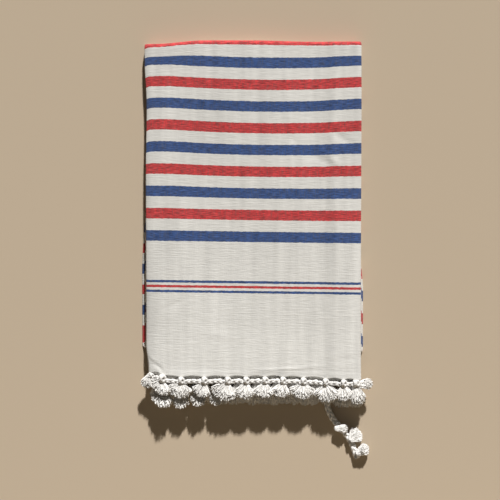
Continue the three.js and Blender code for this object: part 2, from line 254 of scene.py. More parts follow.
def plait(middle, up, half_width, half_rise, turn_length, yarn, shades=(1.0, 0.97, 0.99)):
    """Strands of a three-strand plait along a middle line. Half width and half rise are how far
    a strand's own middle swings, and up is the plait's upper side at each point."""
    ahead = unit(np.gradient(middle, axis=0))
    side = unit(np.cross(up, ahead))
    above = np.cross(ahead, side)
    steps = np.linalg.norm(np.diff(middle, axis=0), axis=1)
    run = np.concatenate([[0.0], np.cumsum(steps)])
    strands = []
    for number, shade in enumerate(shades):
        phase = 2 * math.pi * (run / turn_length + number / 3)
        swing = (half_width * np.sin(phase))[:, None]
        rise = (half_rise * np.sin(2 * phase))[:, None]
        strands.append(strand(middle + side * swing + above * rise, yarn, YARN_TWIST, shade))
    return strands


cord_middle = even_route(CORD_ROUTE, CORD_STEP)
cord_strands = plait(cord_middle, np.array([0.0, 0.0, 1.0]), (CORD_WIDTH - CORD_STRAND) / 2,
                     CORD_RISE, CORD_TURN, CORD_STRAND)
loose_cord = spun("loose_cord_plait", cord_strands, sides=9, groove=0.09)
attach(loose_cord, "root")
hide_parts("loose_cord")


# Tassels on the loose end
# Short brushes of the same yarn, cut to length and held by a knot that is pulled tight round
# the plait. The first is bunched up on top of it, and the last closes its end.
LOOSE_TASSELS = [
    {"node": "loose_tassel_first", "x": 0.1190, "y": -0.3095, "level": 0.0094, "fall": 0.0015,
     "angle": -3, "length": 0.020, "width": 0.0125, "height": 0.0042, "strands": 240},
    {"node": "loose_tassel_second", "x": 0.1409, "y": -0.3277, "level": 0.0088, "fall": 0.0050,
     "angle": 38, "length": 0.0215, "width": 0.025, "height": 0.0030, "strands": 320},
    {"node": "loose_tassel_last", "x": 0.1510, "y": -0.3482, "level": 0.0088, "fall": 0.0040,
     "angle": 26, "length": 0.0215, "width": 0.018, "height": 0.0048, "strands": 280},
]
# The cut yarns are too fine to show one by one, so each drawn one stands for two or three
BRUSH_POINTS = 6
BRUSH_YARN = 0.00115
FLOOR_CLEARANCE = 0.0007
LOOSE_KNOT_AHEAD = 0.0015
LOOSE_KNOT_RADIUS = 0.0022
LOOSE_KNOT_HEIGHT = 0.0014
LOOSE_KNOT_YARN = 0.0028
LOOSE_KNOT_SHADE = 0.95


def brush(random, count, length, width, height, root=0.0065, bend=0.0008):
    """Yarns of a tassel in its own frame: along it, across it and out of its middle plane. They
    fan out from the knot and stand up from it as well, so that their cut ends lie on a dome
    of the given height."""
    share = np.linspace(0, 1, BRUSH_POINTS)
    widest = math.asin(min(0.95, (width - root) / (2 * 0.75 * length)))
    yarns = []
    for number in range(count):
        fan = 2 * (number + random.random()) / count - 1
        up = random.uniform(-0.3, 1.0) * math.sqrt(1 - 0.6 * fan * fan)
        reach = length * (1 - 0.25 * fan * fan) * random.uniform(0.9, 1.03)
        reach *= math.sqrt(1 - 0.75 * max(up, 0) ** 2)
        turn = widest * fan
        wave = bend * share * np.sin(2 * math.pi * (share * random.uniform(0.7, 1.6) + random.random()))
        curl = bend * share * np.sin(2 * math.pi * (share * random.uniform(0.7, 1.6) + random.random()))
        across = fan * root / 2 + reach * share * math.sin(turn) + wave
        out = up * height * (0.5 + 0.5 * share + 0.25 * share ** 4) + curl
        points = np.stack([reach * share * math.cos(turn), across, out], axis=1)
        thickness = BRUSH_YARN * random.uniform(0.9, 1.15) * (0.9 + 0.25 * share)
        yarns.append((points, thickness, random.uniform(0.93, 1.0)))
    return yarns


def wound_knot(middle, ahead, side, above, radius, length, height, yarn, shade=1.0):
    """Closed line of a cord wound round and over itself into a ball, as in a tight knot."""
    turn = np.linspace(0, 4 * math.pi, 56, endpoint=False)[:, None]
    lie = 1.05 * np.sin(1.5 * turn + 0.4)
    swell = 1 + 0.16 * np.cos(3 * turn)
    points = (middle + side * radius * swell * np.cos(lie) * np.cos(turn)
              + above * height * swell * np.cos(lie) * np.sin(turn) + ahead * length * np.sin(lie))
    return strand(points, yarn, YARN_TWIST, shade, closed=True)


for number, row in enumerate(LOOSE_TASSELS):
    random = np.random.default_rng(40 + number)
    turn = math.radians(row["angle"])
    ahead = np.array([math.cos(turn), math.sin(turn), 0.0])
    side = np.array([-math.sin(turn), math.cos(turn), 0.0])
    above = np.array([0.0, 0.0, 1.0])
    seat = np.array([row["x"], row["y"], row["level"]])
    strands = []
    for points, yarn, shade in brush(random, row["strands"], row["length"], row["width"], row["height"]):
        fallen = row["fall"] * (points[:, :1] / row["length"]) ** 1.5
        lying = seat + points[:, :1] * ahead + points[:, 1:2] * side + (points[:, 2:] - fallen) * above
        lying[:, 2] = np.maximum(lying[:, 2], FLOOR_CLEARANCE)
        strands.append(strand(lying, yarn, shade=shade))
    strands.append(wound_knot(seat + LOOSE_KNOT_AHEAD * ahead, ahead, side, above, LOOSE_KNOT_RADIUS,
                              LOOSE_KNOT_RADIUS, LOOSE_KNOT_HEIGHT, LOOSE_KNOT_YARN, LOOSE_KNOT_SHADE))
    piece = spun(row["node"] + "_yarn", strands, sides=3)
    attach(piece, "root")
    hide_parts(row["node"])


# Towel cloth
# One panel of flat-woven cotton, 0.92 by 1.96 m, with woven selvedges and a narrow hem at each
# end. It lies folded in three across its width and in four along its length: twelve plies.
CLOTH_THICKNESS = 0.0013
PLY_PITCH = 0.0018
LAYER_PITCH = 0.0058
GROUND_LAYER_Z = PLY_PITCH + CLOTH_THICKNESS / 2
THIRD_LAYER_Z = GROUND_LAYER_Z + LAYER_PITCH
SECOND_LAYER_Z = THIRD_LAYER_Z + LAYER_PITCH
TOP_LAYER_Z = SECOND_LAYER_Z + LAYER_PITCH
STACK_HEIGHT = TOP_LAYER_Z + GROUND_LAYER_Z
LEFT_FOLD_X = -0.1672
RIGHT_FOLD_X = 0.1582
LEFT_PANEL_SELVEDGE_X = 0.112
RIGHT_PANEL_SELVEDGE_X = -0.158
UPPER_HEM_Y = -0.2295
LOWER_HEM_Y = -0.240
LONG_FOLD_Y = 0.2768
SHORT_FOLD_Y = -0.1918
HALF_WIDTH = 0.163
HEM_DEPTH = 0.0085
PRESSED = 0.5

# Stations lie close together where the cloth shows, and further apart inside the stack
SHOWN_SPACING = 0.0035
HEM_SPACING = 0.0014
HIDDEN_SPACING = 0.018


def ramp(start, end, value):
    """0 up to the start, 1 from the end on, and a smooth rise between them."""
    share = np.clip((value - start) / (end - start), 0, 1)
    return share * share * (3 - 2 * share)


def moved_along(x, y):
    """How far a point of the settled stack lies towards the long fold from its even place."""
    corner_drop = 0.0050 * ramp(-0.080, -0.150, x)
    fold_drop = corner_drop + 0.0015 * ramp(0.0, 0.070, x)
    hem_drop = 0.0045 * ramp(0.020, RIGHT_FOLD_X, x) * ramp(-0.060, UPPER_HEM_Y, y)
    hem_rise = 0.007 * ramp(-0.128, LEFT_FOLD_X, x) * ramp(-0.150, UPPER_HEM_Y, y)
    return hem_rise - hem_drop - fold_drop * ramp(0.060, 0.265, y)


# Soft creases of the upper face, as shares of the stack's height. Turn is in degrees from +X.
CREASES = [
    {"x": -0.098, "y": -0.2330, "along": 0.036, "wide": 0.0110, "turn": 0, "share": 0.055},
    {"x": 0.026, "y": -0.2330, "along": 0.030, "wide": 0.0100, "turn": 0, "share": -0.035},
    {"x": 0.045, "y": -0.2175, "along": 0.026, "wide": 0.0022, "turn": 2, "share": 0.028},
    {"x": 0.012, "y": -0.2190, "along": 0.014, "wide": 0.0018, "turn": -3, "share": 0.022},
    {"x": 0.080, "y": -0.2130, "along": 0.024, "wide": 0.0024, "turn": 5, "share": 0.016},
    {"x": -0.126, "y": -0.1215, "along": 0.014, "wide": 0.0030, "turn": 22, "share": -0.026},
    {"x": -0.060, "y": -0.1660, "along": 0.034, "wide": 0.0060, "turn": -7, "share": 0.016},
    {"x": 0.138, "y": -0.1990, "along": 0.020, "wide": 0.0030, "turn": 8, "share": -0.020},
    {"x": 0.132, "y": 0.1260, "along": 0.018, "wide": 0.0050, "turn": -35, "share": -0.045},
    {"x": 0.118, "y": 0.0930, "along": 0.016, "wide": 0.0045, "turn": -40, "share": 0.030},
    {"x": 0.098, "y": 0.0960, "along": 0.020, "wide": 0.0050, "turn": -30, "share": -0.030},
    {"x": 0.055, "y": 0.1250, "along": 0.012, "wide": 0.0040, "turn": -60, "share": -0.030},
    {"x": -0.152, "y": -0.2180, "along": 0.014, "wide": 0.0028, "turn": -42, "share": -0.060},
    {"x": -0.158, "y": -0.2110, "along": 0.012, "wide": 0.0026, "turn": -52, "share": 0.045},
]


def relief(x, y):
    """Share of the stack's height by which the cloth is raised: beside the selvedge inside runs
    a trough with a steep right flank, and the lower hem with its knots lifts the upper one."""
    trough = 0.12 * ramp(0.050, 0.096, x) * ramp(0.120, 0.098, x)
    ridge = 0.060 * ramp(0.102, 0.119, x) * ramp(RIGHT_FOLD_X, 0.128, x) * ramp(0.240, 0.060, y)
    wave = 0.025 * np.sin(2 * math.pi * (x + 0.45 * y) / 0.230) * ramp(-0.275, -0.120, y)
    middle = np.exp(-((x + 0.020) / 0.090) ** 2)
    lift = (0.025 + 0.045 * middle) * ramp(-0.040, -0.190, y) + 0.115 * ramp(-0.150, -0.236, y)
    droop = 0.075 * ramp(0.190, 0.262, y) * (1 - middle)
    rolled = 0.20 * np.exp((LEFT_FOLD_X - x) / 0.0080) + 0.08 * np.exp((x - RIGHT_FOLD_X) / 0.0030)
    raised = wave + ridge - trough - droop - np.minimum(rolled, 0.25)
    raised = raised + lift * (1 - 0.5 * ramp(-0.238, -0.275, y))
    for crease in CREASES:
        turn = math.radians(crease["turn"])
        far = (x - crease["x"]) * math.cos(turn) + (y - crease["y"]) * math.sin(turn)
        off = (y - crease["y"]) * math.cos(turn) - (x - crease["x"]) * math.sin(turn)
        spread = (far / crease["along"]) ** 2 + (off / crease["wide"]) ** 2
        raised = raised + crease["share"] * np.exp(-spread)
    return raised


def settled(x, y, z):
    """Moves points of the evenly folded stack to where they lie in the settled one."""
    low = np.clip(1 - z / STACK_HEIGHT, 0, 1)
    slip = np.where(x < 0, 0.0085 * ramp(0.060, -0.070, y), 0.0065 * ramp(-0.035, -0.100, y)) * low * low
    widened = (slip - 0.0015 * ramp(0.220, -0.230, y)) * (x / HALF_WIDTH)
    pulled = 0.004 * ramp(-0.185, -0.228, y) * ramp(-0.110, LEFT_FOLD_X, x)
    pinched = 0.0016 * np.exp(-((y - 0.170) / 0.055) ** 2) - 0.0018 * ramp(0.190, 0.250, y)
    pinched = pinched * ramp(-0.080, LEFT_FOLD_X, x)
    fan_share = np.minimum(1, np.maximum(0, (LOWER_HEM_Y - y) / 0.036) ** 1.3)
    lowest, highest = SECOND_LAYER_Z - PLY_PITCH, TOP_LAYER_Z + PLY_PITCH
    fanned = 0.0024 + (z - lowest) / (highest - lowest) * (0.0212 - 0.0024)
    height = z + (fanned - z) * fan_share
    width = x + widened + pulled + pinched
    return np.stack([width, y + moved_along(x, y), height * (1 + relief(x, y))], axis=-1)


def straight_run(start, end, level, spacing):
    """Stations of a section along a straight run: place, level, and the way out of the cloth."""
    places = np.linspace(start, end, max(2, round(abs(end - start) / spacing) + 1))
    return [(place, level, 0.0, math.copysign(1.0, end - start)) for place in places]


def half_turn(centre, start_level, end_level, bulge, steps):
    """Stations inside a half turn between two levels, round the side that bulge's sign gives.
    Its size is 1 for a round turn and less for a pressed one."""
    radius = (end_level - start_level) / 2
    stations = []
    for step in range(1, steps):
        turn = math.pi * step / steps
        place = centre + bulge * abs(radius) * math.sin(turn)
        level = (start_level + end_level) / 2 - radius * math.cos(turn)
        rise = math.copysign(math.sin(turn), radius)
        way_out = unit(np.array([-rise, bulge * math.cos(turn)]))
        stations.append((place, level, way_out[0], way_out[1]))
    return stations


def section(stations):
    """Arrays of the stations' columns, and the distance along the flat cloth."""
    place, level, out_place, out_level = np.array(stations).T
    steps = np.hypot(np.diff(place), np.diff(level))
    return place, level, out_place, out_level, np.concatenate([[0.0], np.cumsum(steps)])


def section_across(shown, hidden):
    """Left panel, left fold, middle panel, right fold and right panel."""
    left_centre = LEFT_FOLD_X + (PLY_PITCH + CLOTH_THICKNESS) / 2
    right_centre = RIGHT_FOLD_X - PLY_PITCH - CLOTH_THICKNESS / 2
    return section([
        *straight_run(LEFT_PANEL_SELVEDGE_X, left_centre, 0.0, hidden),
        *half_turn(left_centre, 0.0, PLY_PITCH, -1, 8),
        *straight_run(left_centre, right_centre, PLY_PITCH, shown),
        *half_turn(right_centre, PLY_PITCH, -PLY_PITCH, 1, 10),
        *straight_run(right_centre, RIGHT_PANEL_SELVEDGE_X, -PLY_PITCH, hidden),
    ])


def section_along():
    """Upper hem, top layer, long fold, ground layer, short fold, third and second layer, lower hem."""
    long_centre = LONG_FOLD_Y - PRESSED * (TOP_LAYER_Z - GROUND_LAYER_Z) / 2 - GROUND_LAYER_Z
    short_centre = SHORT_FOLD_Y + LAYER_PITCH / 2 + GROUND_LAYER_Z
    hem_end = UPPER_HEM_Y + 0.024
    return section([
        (UPPER_HEM_Y, TOP_LAYER_Z, 0.0, 1.0),
        *straight_run(UPPER_HEM_Y + 0.0006, hem_end, TOP_LAYER_Z, HEM_SPACING),
        *straight_run(hem_end, long_centre, TOP_LAYER_Z, SHOWN_SPACING)[1:],
        *half_turn(long_centre, TOP_LAYER_Z, GROUND_LAYER_Z, PRESSED, 14),
        *straight_run(long_centre, short_centre, GROUND_LAYER_Z, HIDDEN_SPACING),
        *half_turn(short_centre, GROUND_LAYER_Z, THIRD_LAYER_Z, -1, 8),
        *straight_run(short_centre, long_centre, THIRD_LAYER_Z, HIDDEN_SPACING),
        *half_turn(long_centre, THIRD_LAYER_Z, SECOND_LAYER_Z, PRESSED, 8),
        *straight_run(long_centre, LOWER_HEM_Y + 0.0124, SECOND_LAYER_Z, HIDDEN_SPACING),
        *straight_run(LOWER_HEM_Y + 0.0096, LOWER_HEM_Y + 0.0006, SECOND_LAYER_Z, 0.003),
        (LOWER_HEM_Y, SECOND_LAYER_Z, 0.0, -1.0),
    ])


# Tassels of the uppermost row, from left to right: the place of the knot along the hem, the
# width of the brush, how far it reaches beyond the hem, and its lean towards +X in degrees
TOP_ROW = [
    {"knot": -0.1625, "width": 0.017, "reach": 0.027, "lean": -28, "start": 0.0020, "big": 0.7},
    {"knot": -0.1455, "width": 0.040, "reach": 0.031, "lean": -16, "big": 1.15},
    {"knot": -0.1139, "width": 0.036, "reach": 0.032, "lean": -12},
    {"knot": -0.0790, "width": 0.027, "reach": 0.031, "lean": -20},
    {"knot": -0.0437, "width": 0.037, "reach": 0.037, "lean": -22},
    {"knot": -0.0158, "width": 0.029, "reach": 0.034, "lean": -9},
    {"knot": 0.0128, "width": 0.029, "reach": 0.033, "lean": -9},
    {"knot": 0.0398, "width": 0.026, "reach": 0.031, "lean": -12},
    {"knot": 0.0707, "width": 0.037, "reach": 0.033, "lean": -4},
    {"knot": 0.1043, "width": 0.037, "reach": 0.035, "lean": 6},
    {"knot": 0.1313, "width": 0.027, "reach": 0.032, "lean": 8},
    {"knot": 0.1493, "width": 0.023, "reach": 0.038, "lean": 14},
    {"knot": 0.1510, "width": 0.016, "reach": 0.034, "lean": 97},
]
TASSEL_PITCH = 0.031
HIDDEN_ROWS = [
    {"hem": "upper", "panel": "left", "first": -0.143, "last": 0.090, "reach": 0.030, "lean": -4},
    {"hem": "upper", "panel": "right", "first": -0.146, "last": 0.143, "reach": 0.031, "lean": 3},
    {"hem": "lower", "panel": "right", "first": -0.146, "last": 0.137, "reach": 0.032, "lean": 0},
    {"hem": "lower", "panel": "left", "first": -0.150, "last": 0.072, "reach": 0.033, "lean": 6},
    {"hem": "lower", "panel": "middle", "first": -0.154, "last": 0.086, "reach": 0.035, "lean": -2},
    {"hem": "lower", "panel": "middle", "first": 0.128, "last": 0.150, "reach": 0.034, "lean": 8},
]
PANEL_LEVEL = {"left": 0.0, "middle": PLY_PITCH, "right": -PLY_PITCH}


def row_places(row):
    """Places of the tassels in a row that isn't the uppermost one."""
    gaps = round((row["last"] - row["first"]) / TASSEL_PITCH)
    return np.linspace(row["first"], row["last"], gaps + 1)


def knot_places(hem, panel):
    """Places along the hem where the trim is knotted to one panel."""
    if hem == "upper" and panel == "middle":
        return np.array([row["knot"] for row in TOP_ROW[:-1]])
    rows = [row_places(row) for row in HIDDEN_ROWS if (row["hem"], row["panel"]) == (hem, panel)]
    return np.concatenate(rows)


def arch(hem, x, level):
    """0 at each knot of the trim and 1 halfway between two, where the hem is drawn up least."""
    height = np.zeros_like(x)
    for panel, panel_level in PANEL_LEVEL.items():
        knots = knot_places(hem, panel)
        right = np.clip(np.searchsorted(knots, x), 1, len(knots) - 1)
        share = (x - knots[right - 1]) / (knots[right] - knots[right - 1])
        inside = (share > 0) & (share < 1) & (np.abs(level - panel_level) < PLY_PITCH / 4)
        height = np.where(inside, np.sin(math.pi * np.clip(share, 0, 1)), height)
    return height


SCALLOP_RISE = 0.0026
SCALLOP_FALL = 0.0010
SCALLOP_DEPTH = 0.014
x_place, x_level, x_out_place, x_out_level, x_flat = section_across(SHOWN_SPACING, HIDDEN_SPACING)
y_place, y_level, y_out_place, y_out_level, y_flat = [column[:, None] for column in section_along()]
FLAT_LENGTH = float(y_flat[-1, 0])
from_hem = np.minimum(y_flat, FLAT_LENGTH - y_flat)
hem_swell = 1 + 0.32 * ramp(HEM_DEPTH + 0.0012, HEM_DEPTH - 0.0012, from_hem)
half_thickness = CLOTH_THICKNESS / 2 * hem_swell * (0.62 + 0.38 * ramp(-0.0003, 0.0006, from_hem))
scallop = 0
for hem, from_own_hem in (("upper", y_flat), ("lower", FLAT_LENGTH - y_flat)):
    drawn_up = SCALLOP_RISE * arch(hem, x_place, x_level) - SCALLOP_FALL
    scallop = scallop + drawn_up * ramp(SCALLOP_DEPTH, 0.0, from_own_hem)
faces_of_cloth = []
for side in (half_thickness, -half_thickness):
    x = x_place + x_out_place * side
    offset = x_level + x_out_level * side
    y = y_place + y_out_place * offset + scallop
    z = y_level + y_out_level * offset
    faces_of_cloth.append(settled(*np.broadcast_arrays(x, y, z)))
rows_along, rows_across = faces_of_cloth[0].shape[:2]
towel_points = np.stack(faces_of_cloth, axis=2).reshape(-1, 3)
outer = (np.arange(rows_along * rows_across) * 2).reshape(rows_along, rows_across)
inner = outer + 1


def quads(a, b, c, d):
    """Rows of four corners."""
    return np.stack([a, b, c, d], axis=-1).reshape(-1, 4)


towel_quads = np.concatenate([
    quads(outer[:-1, :-1], outer[:-1, 1:], outer[1:, 1:], outer[1:, :-1]),
    quads(inner[:-1, :-1], inner[1:, :-1], inner[1:, 1:], inner[:-1, 1:]),
    quads(outer[:-1, 0], outer[1:, 0], inner[1:, 0], inner[:-1, 0]),
    quads(outer[1:, -1], outer[:-1, -1], inner[:-1, -1], inner[1:, -1]),
    quads(outer[0, 1:], outer[0, :-1], inner[0, :-1], inner[0, 1:]),
    quads(outer[-1, :-1], outer[-1, 1:], inner[-1, 1:], inner[-1, :-1]),
])

# Stripes: narrow ones near each hem, then wide red and blue ones in turn over the whole middle
STRIPE_FIRST = 0.2089
STRIPE_PITCH = 0.0332
STRIPE_WIDTH = 0.01575
THIN_MIDDLE = 0.13395
THIN_PITCH = 0.00735
THIN_WIDTH = 0.0037
TOP_STRIPE_FIRST = 0.2096
TOP_STRIPE_PITCH = 0.0326
LAST_TOP_STRIPE = 8
FOLD_STRIPE = 0.5062


def woven_place(flat):
    """Place in the stripe pattern of a distance along the cloth. The stripes that show on the
    top layer lie a little closer together than the others."""
    half = FLAT_LENGTH / 2
    thin = THIN_MIDDLE + THIN_PITCH
    last_top = TOP_STRIPE_FIRST + LAST_TOP_STRIPE * TOP_STRIPE_PITCH
    measured = [0.0, thin, TOP_STRIPE_FIRST, last_top, FOLD_STRIPE, half]
    last_woven = STRIPE_FIRST + LAST_TOP_STRIPE * STRIPE_PITCH
    woven = [0.0, thin, STRIPE_FIRST, last_woven, last_woven + STRIPE_PITCH, half]
    near = np.interp(np.minimum(flat, FLAT_LENGTH - flat), measured, woven)
    return np.where(flat > half, FLAT_LENGTH - near, near)


def weft_drift(x, y, flat):
    """How far the weft has strayed from square: on the top layer it sags between the side folds
    and runs down to the right, and the layers below lie askew."""
    slope = 0.0010 + 0.0025 * ramp(0.240, 0.020, y)
    bow = 0.0054 * ramp(-0.050, 0.180, y) * (1 - 0.8 * ramp(0.243, 0.268, y))
    sag = np.sin(math.pi * np.clip((x + 0.130) / 0.290, 0, 1)) - 0.963
    turned = 0.0030 * np.exp((LEFT_FOLD_X - x) / 0.0030) * ramp(0.060, 0.120, y)
    moved = moved_along(x, y) * (1 - 0.4 * ramp(0.235, 0.268, y))
    at_corner = 0.0030 * ramp(-0.090, -0.150, x) * ramp(0.245, 0.268, y)
    top = moved + slope * (x + 0.010) / 0.270 + bow * sag + turned + at_corner
    top = top * ramp(0.0, 0.110, flat)
    top_end = LONG_FOLD_Y - UPPER_HEM_Y
    fade = ramp(top_end + 0.100, top_end, flat)
    right_share = np.clip((x + 0.160) / 0.320, 0, 1)
    left_stray = 0.012 - 0.064 * np.clip(y + 0.042, -0.15, 0.1)
    askew = left_stray + (-0.027 - left_stray) * right_share
    askew = np.where(flat > FLAT_LENGTH / 2, -0.0077 - askew, askew)
    return top * fade + askew * (1 - fade)


towel_mesh = bpy.data.meshes.new("towel")
towel_mesh.from_pydata(towel_points, [], towel_quads)
towel_mesh.shade_smooth()
flat_u, flat_y, flat_v = np.broadcast_arrays(x_flat, y_place, y_flat)
woven_v = woven_place(flat_v) + weft_drift(np.broadcast_to(x_place, flat_v.shape), flat_y, flat_v)
weave = np.stack([flat_u, woven_v], axis=-1).reshape(-1, 2)
corner_vertices = np.zeros(len(towel_mesh.loops), np.int32)
towel_mesh.loops.foreach_get("vertex_index", corner_vertices)
weave_map = towel_mesh.uv_layers.new(name="weave")
weave_map.uv.foreach_set("vector", weave[corner_vertices // 2].astype(np.float32).ravel())
towel = bpy.data.objects.new("towel", towel_mesh)
scene.collection.objects.link(towel)

# Flat-woven cotton: bleached warp, and a slubby weft in white, brick red or denim blue. Thick
# and thin places of the weft show as long streaks, and the warp as pale specks in the stripes.
# Single threads of about 0.5 mm are too fine to show: fine slubs are drawn 1.2 mm wide and warp
# threads 1.5 mm.
CLOTH_WHITE = "#DEDDD9"
STRIPE_BLUE = "#374F80"
STRIPE_RED = "#BA3D3F"
SLUB_LENGTH = 0.030
SLUB_WIDTH = 0.0022
FINE_SLUB_LENGTH = 0.010
FINE_SLUB_WIDTH = 0.0012
WARP_WIDTH = 0.0015
WARP_LENGTH = 0.012
BAND_WIDTH = 0.014
BAND_LENGTH = 0.150
STRIPE_EDGE = 0.0004
STRIPE_WOBBLE = 0.0011
WOBBLE_LENGTH = 0.006
WEFT_DYE = 1.7
WARP_DYE = -1.0
SLUB_SHADE = 0.24
BAND_SHADE = 0.26
FINE_SHADE = 0.12
woven_cotton = bpy.data.materials.new("flat-woven cotton")
woven_cotton.use_nodes = True
nodes = woven_cotton.node_tree
surface = nodes.nodes["Principled BSDF"]
surface.inputs["Roughness"].default_value = 0.92
surface.inputs["Specular IOR Level"].default_value = 0.2
surface.inputs["Sheen Weight"].default_value = 0.12
surface.inputs["Sheen Roughness"].default_value = 0.55
weave_uv = add_node(nodes, "ShaderNodeUVMap", {"uv_map": "weave"})
weave_parts = add_node(nodes, "ShaderNodeSeparateXYZ", {}, {0: weave_uv.outputs[0]})
noises = {}
for label, size_u, size_v, detail in (
    ("slub", SLUB_LENGTH, SLUB_WIDTH, 2.0),
    ("fine slub", FINE_SLUB_LENGTH, FINE_SLUB_WIDTH, 1.0),
    ("warp", WARP_WIDTH, WARP_LENGTH, 1.0),
    ("band", BAND_WIDTH, BAND_LENGTH, 1.0),
    ("edge", WOBBLE_LENGTH, WOBBLE_LENGTH, 1.0),
):
    scaled = add_node(nodes, "ShaderNodeVectorMath",
                      {"operation": "MULTIPLY", 1: (1 / size_u, 1 / size_v, 1.0)}, {0: weave_uv.outputs[0]})
    noises[label] = add_node(nodes, "ShaderNodeTexNoise",
                             {"noise_dimensions": "2D", "Scale": 1.0, "Detail": detail, "Roughness": 0.6},
                             {"Vector": scaled.outputs[0]}).outputs["Fac"]


# Each soft-edged stripe is found from the turns of its row, which the table below counts
edges = {}
for label, width, pitch in (("wide", STRIPE_WIDTH, STRIPE_PITCH), ("thin", THIN_WIDTH, THIN_PITCH)):
    edges[label] = add_node(nodes, "ShaderNodeMapRange",
                            {"interpolation_type": "SMOOTHSTEP",
                             "From Min": (width + STRIPE_EDGE) / 2 / pitch,
                             "From Max": (width - STRIPE_EDGE) / 2 / pitch})
warp_specks = add_node(nodes, "ShaderNodeMapRange",
                       {"From Min": 0.42, "From Max": 0.75, "To Min": 1.0, "To Max": 0.94},
                       {"Value": noises["warp"]})
values = {**noises, "along": weave_parts.outputs["Y"], "warp specks": warp_specks.outputs[0],
          "wide edge": edges["wide"].outputs[0], "thin edge": edges["thin"].outputs[0]}
# Each row is a value's name, its operation, and its terms: names of earlier values, or numbers
for label, operation, *terms in (
    ("past middle", "SUBTRACT", "along", FLAT_LENGTH / 2),
    ("from middle", "ABSOLUTE", "past middle"),
    ("from end", "SUBTRACT", FLAT_LENGTH / 2, "from middle"),
    ("wobble", "MULTIPLY_ADD", "edge", STRIPE_WOBBLE, -STRIPE_WOBBLE / 2),
    ("distance", "ADD", "from end", "wobble"),
    ("past first wide", "SUBTRACT", "distance", STRIPE_FIRST),
    ("wide turns", "DIVIDE", "past first wide", STRIPE_PITCH),
    ("wide near", "PINGPONG", "wide turns", 0.5),
    ("in wide", "GREATER_THAN", "distance", STRIPE_FIRST - STRIPE_PITCH / 2),
    ("wide mask", "MULTIPLY", "wide edge", "in wide"),
    ("wide pairs", "DIVIDE", "wide turns", 2.0),
    ("pair side", "PINGPONG", "wide pairs", 0.5),
    ("second of pair", "GREATER_THAN", "pair side", 0.25),
    ("wide red", "MULTIPLY", "second of pair", "in wide"),
    ("past thin middle", "SUBTRACT", "distance", THIN_MIDDLE),
    ("thin turns", "DIVIDE", "past thin middle", THIN_PITCH),
    ("thin near", "PINGPONG", "thin turns", 0.5),
    ("thin count", "ABSOLUTE", "thin turns"),
    ("in thin", "LESS_THAN", "thin count", 1.5),
    ("thin mask", "MULTIPLY", "thin edge", "in thin"),
    ("middle thin", "LESS_THAN", "thin count", 0.5),
    ("thin red", "MULTIPLY", "middle thin", "in thin"),
    ("mask", "MAXIMUM", "wide mask", "thin mask"),
    ("red", "MAXIMUM", "wide red", "thin red"),
    ("cover", "MULTIPLY", "mask", "warp specks"),
    ("weft dye", "MULTIPLY_ADD", "fine slub", WEFT_DYE, 1 - WEFT_DYE / 2),
    ("warp dye", "MULTIPLY_ADD", "warp", WARP_DYE, -WARP_DYE / 2),
    ("dye shade", "ADD", "weft dye", "warp dye"),
    ("slub shade", "MULTIPLY_ADD", "slub", SLUB_SHADE, 1 - SLUB_SHADE / 2),
    ("band shade", "MULTIPLY_ADD", "band", BAND_SHADE, -BAND_SHADE / 2),
    ("long shade", "ADD", "slub shade", "band shade"),
    ("fine shade", "MULTIPLY_ADD", "fine slub", FINE_SHADE, -FINE_SHADE / 2),
    ("shade", "ADD", "long shade", "fine shade"),
    ("slub height", "MULTIPLY", "slub", 0.6),
    ("weft height", "MULTIPLY_ADD", "fine slub", 0.5, "slub height"),
    ("height", "MULTIPLY_ADD", "warp", 0.35, "weft height"),
):
    numbers = {place: term for place, term in enumerate(terms) if not isinstance(term, str)}
    sources = {place: values[term] for place, term in enumerate(terms) if isinstance(term, str)}
    step = add_node(nodes, "ShaderNodeMath", {"operation": operation, **numbers}, sources)
    values[label] = step.outputs[0]
for label, edge in edges.items():
    nodes.links.new(values[label + " near"], edge.inputs["Value"])
dyed = add_node(nodes, "ShaderNodeMix",
                {"data_type": "RGBA", 6: linear(STRIPE_BLUE), 7: linear(STRIPE_RED)}, {0: values["red"]})
uneven = add_node(nodes, "ShaderNodeVectorMath", {"operation": "SCALE"},
                  {0: dyed.outputs[2], "Scale": values["dye shade"]})
cloth_colour = add_node(nodes, "ShaderNodeMix", {"data_type": "RGBA", 6: linear(CLOTH_WHITE)},
                        {0: values["cover"], 7: uneven.outputs[0]})
shaded = add_node(nodes, "ShaderNodeVectorMath", {"operation": "SCALE"},
                  {0: cloth_colour.outputs[2], "Scale": values["shade"]})
bump = add_node(nodes, "ShaderNodeBump", {"Strength": 0.45, "Distance": 0.0008},
                {"Height": values["height"]})
nodes.links.new(shaded.outputs[0], surface.inputs["Base Color"])
nodes.links.new(bump.outputs[0], surface.inputs["Normal"])
towel_mesh.materials.append(woven_cotton)
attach(towel, "root")
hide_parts("towel_cloth")


# Tassel trims
# A plaited heading of cotton yarn runs along each hem and is knotted to it about every 31 mm.
# From each knot hangs a brush of cut yarn. The trim folds with the towel, so it lies in rows.
HEADING_BELOW = 0.0088
HEADING_ARCH = 0.0024
HEADING_STRAND = 0.0040
HEADING_SWING = 0.0017
HEADING_RISE = 0.0009
HEADING_TURN = 0.024
# The heading and its knots are drawn in a greyer tone of the same yarn than the brushes, so that their
# sides towards the key light do not burn out: painted shade.
HEADING_PAINTED_SHADE = 0.78
KNOT_BELOW = 0.0056
KNOT_YARN = 0.0040
BRUSH_BELOW = 0.0085
BRUSH_LEVEL = 0.0270
HIDDEN_WIDTH = 0.028
HEADING_STEP = 0.0011
# How many yarns a brush has, and how high they stand
TOP_YARN_PITCH = 0.00014
TOP_HEIGHT = 0.0044
TOP_SPREAD = 1.06
TOP_RISE = 0.0024
TOP_KNOT_RISE = 0.0016
PROPPED_YARNS = 180
PROPPED_HEIGHT = 0.0030
HIDDEN_YARNS = 90
HIDDEN_HEIGHT = 0.0018
HIDDEN_KNOT_SIZE = 0.60
